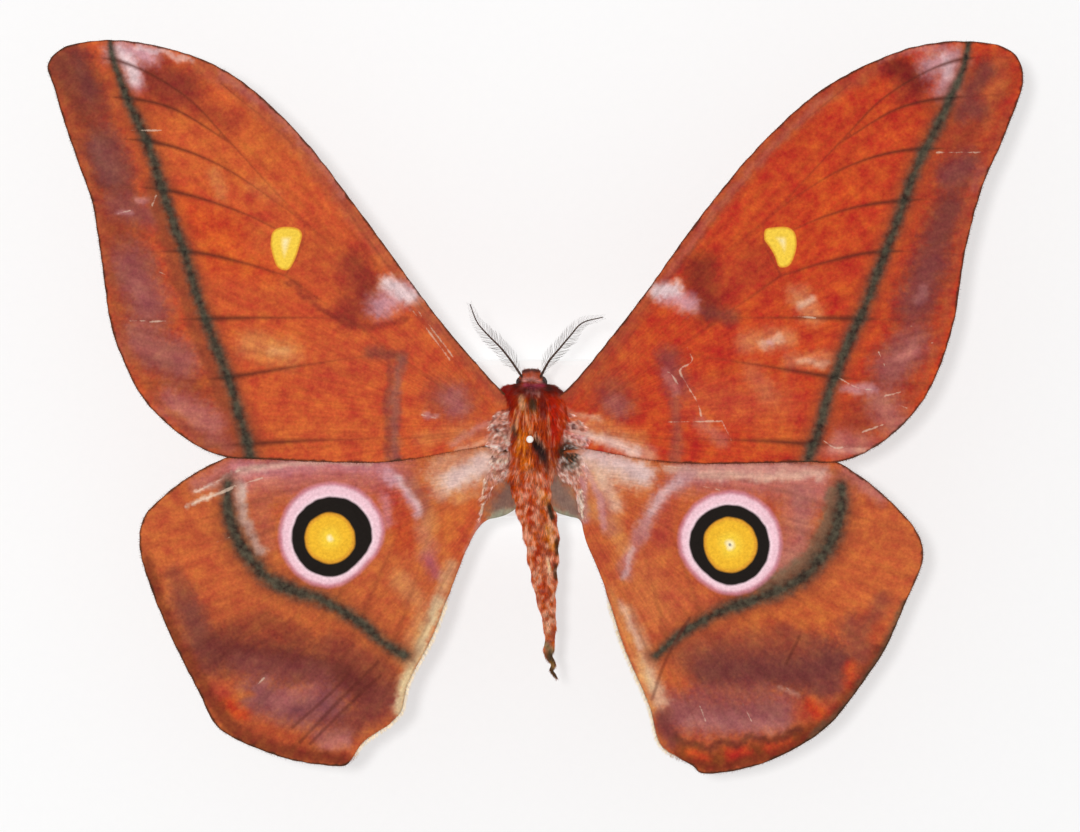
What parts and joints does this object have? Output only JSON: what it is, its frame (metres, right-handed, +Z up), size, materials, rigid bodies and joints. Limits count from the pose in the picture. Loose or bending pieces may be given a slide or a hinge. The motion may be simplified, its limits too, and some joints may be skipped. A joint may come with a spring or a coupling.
{
  "type": "pinned emperor moth",
  "caption": "Set emperor moth with spread orange wings, yellow wing spots, ringed eyespots and feathered antennae, on a pin over a plain base.",
  "frame": {"origin": "on the floor, at the middle of the base's underside, straight below the pin", "axes": "+Z up along the pin, +Y towards the head, +X towards the moth's right wings"},
  "size_m": [0.1201, 0.0904, 0.0399],
  "materials": {
    "head_hair": "matt hair",
    "eye": "glossy",
    "antenna": "matt",
    "thorax_hair": "matt hair",
    "abdomen_hair": "matt hair",
    "forewing_scales": "matt scales",
    "hindwing_scales": "matt scales",
    "leg_hair": "matt hair",
    "stand_base": "matt white",
    "pin_steel": "polished wire"
  },
  "bodies": {
    "root": {"head": "head_hair", "eye_left": "eye", "eye_right": "eye", "antenna_left": "antenna", "antenna_right": "antenna", "thorax": "thorax_hair", "abdomen": "abdomen_hair", "tail_tuft": "abdomen_hair", "forewing_left": "forewing_scales", "forewing_right": "forewing_scales", "hindwing_left": "hindwing_scales", "hindwing_right": "hindwing_scales", "leg_fore_left": "leg_hair", "leg_fore_right": "leg_hair", "leg_mid_left": "leg_hair", "leg_mid_right": "leg_hair", "leg_hind_left": "leg_hair", "leg_hind_right": "leg_hair", "stand_base": "stand_base", "stand_pin": "pin_steel"}
  },
  "joints": []
}
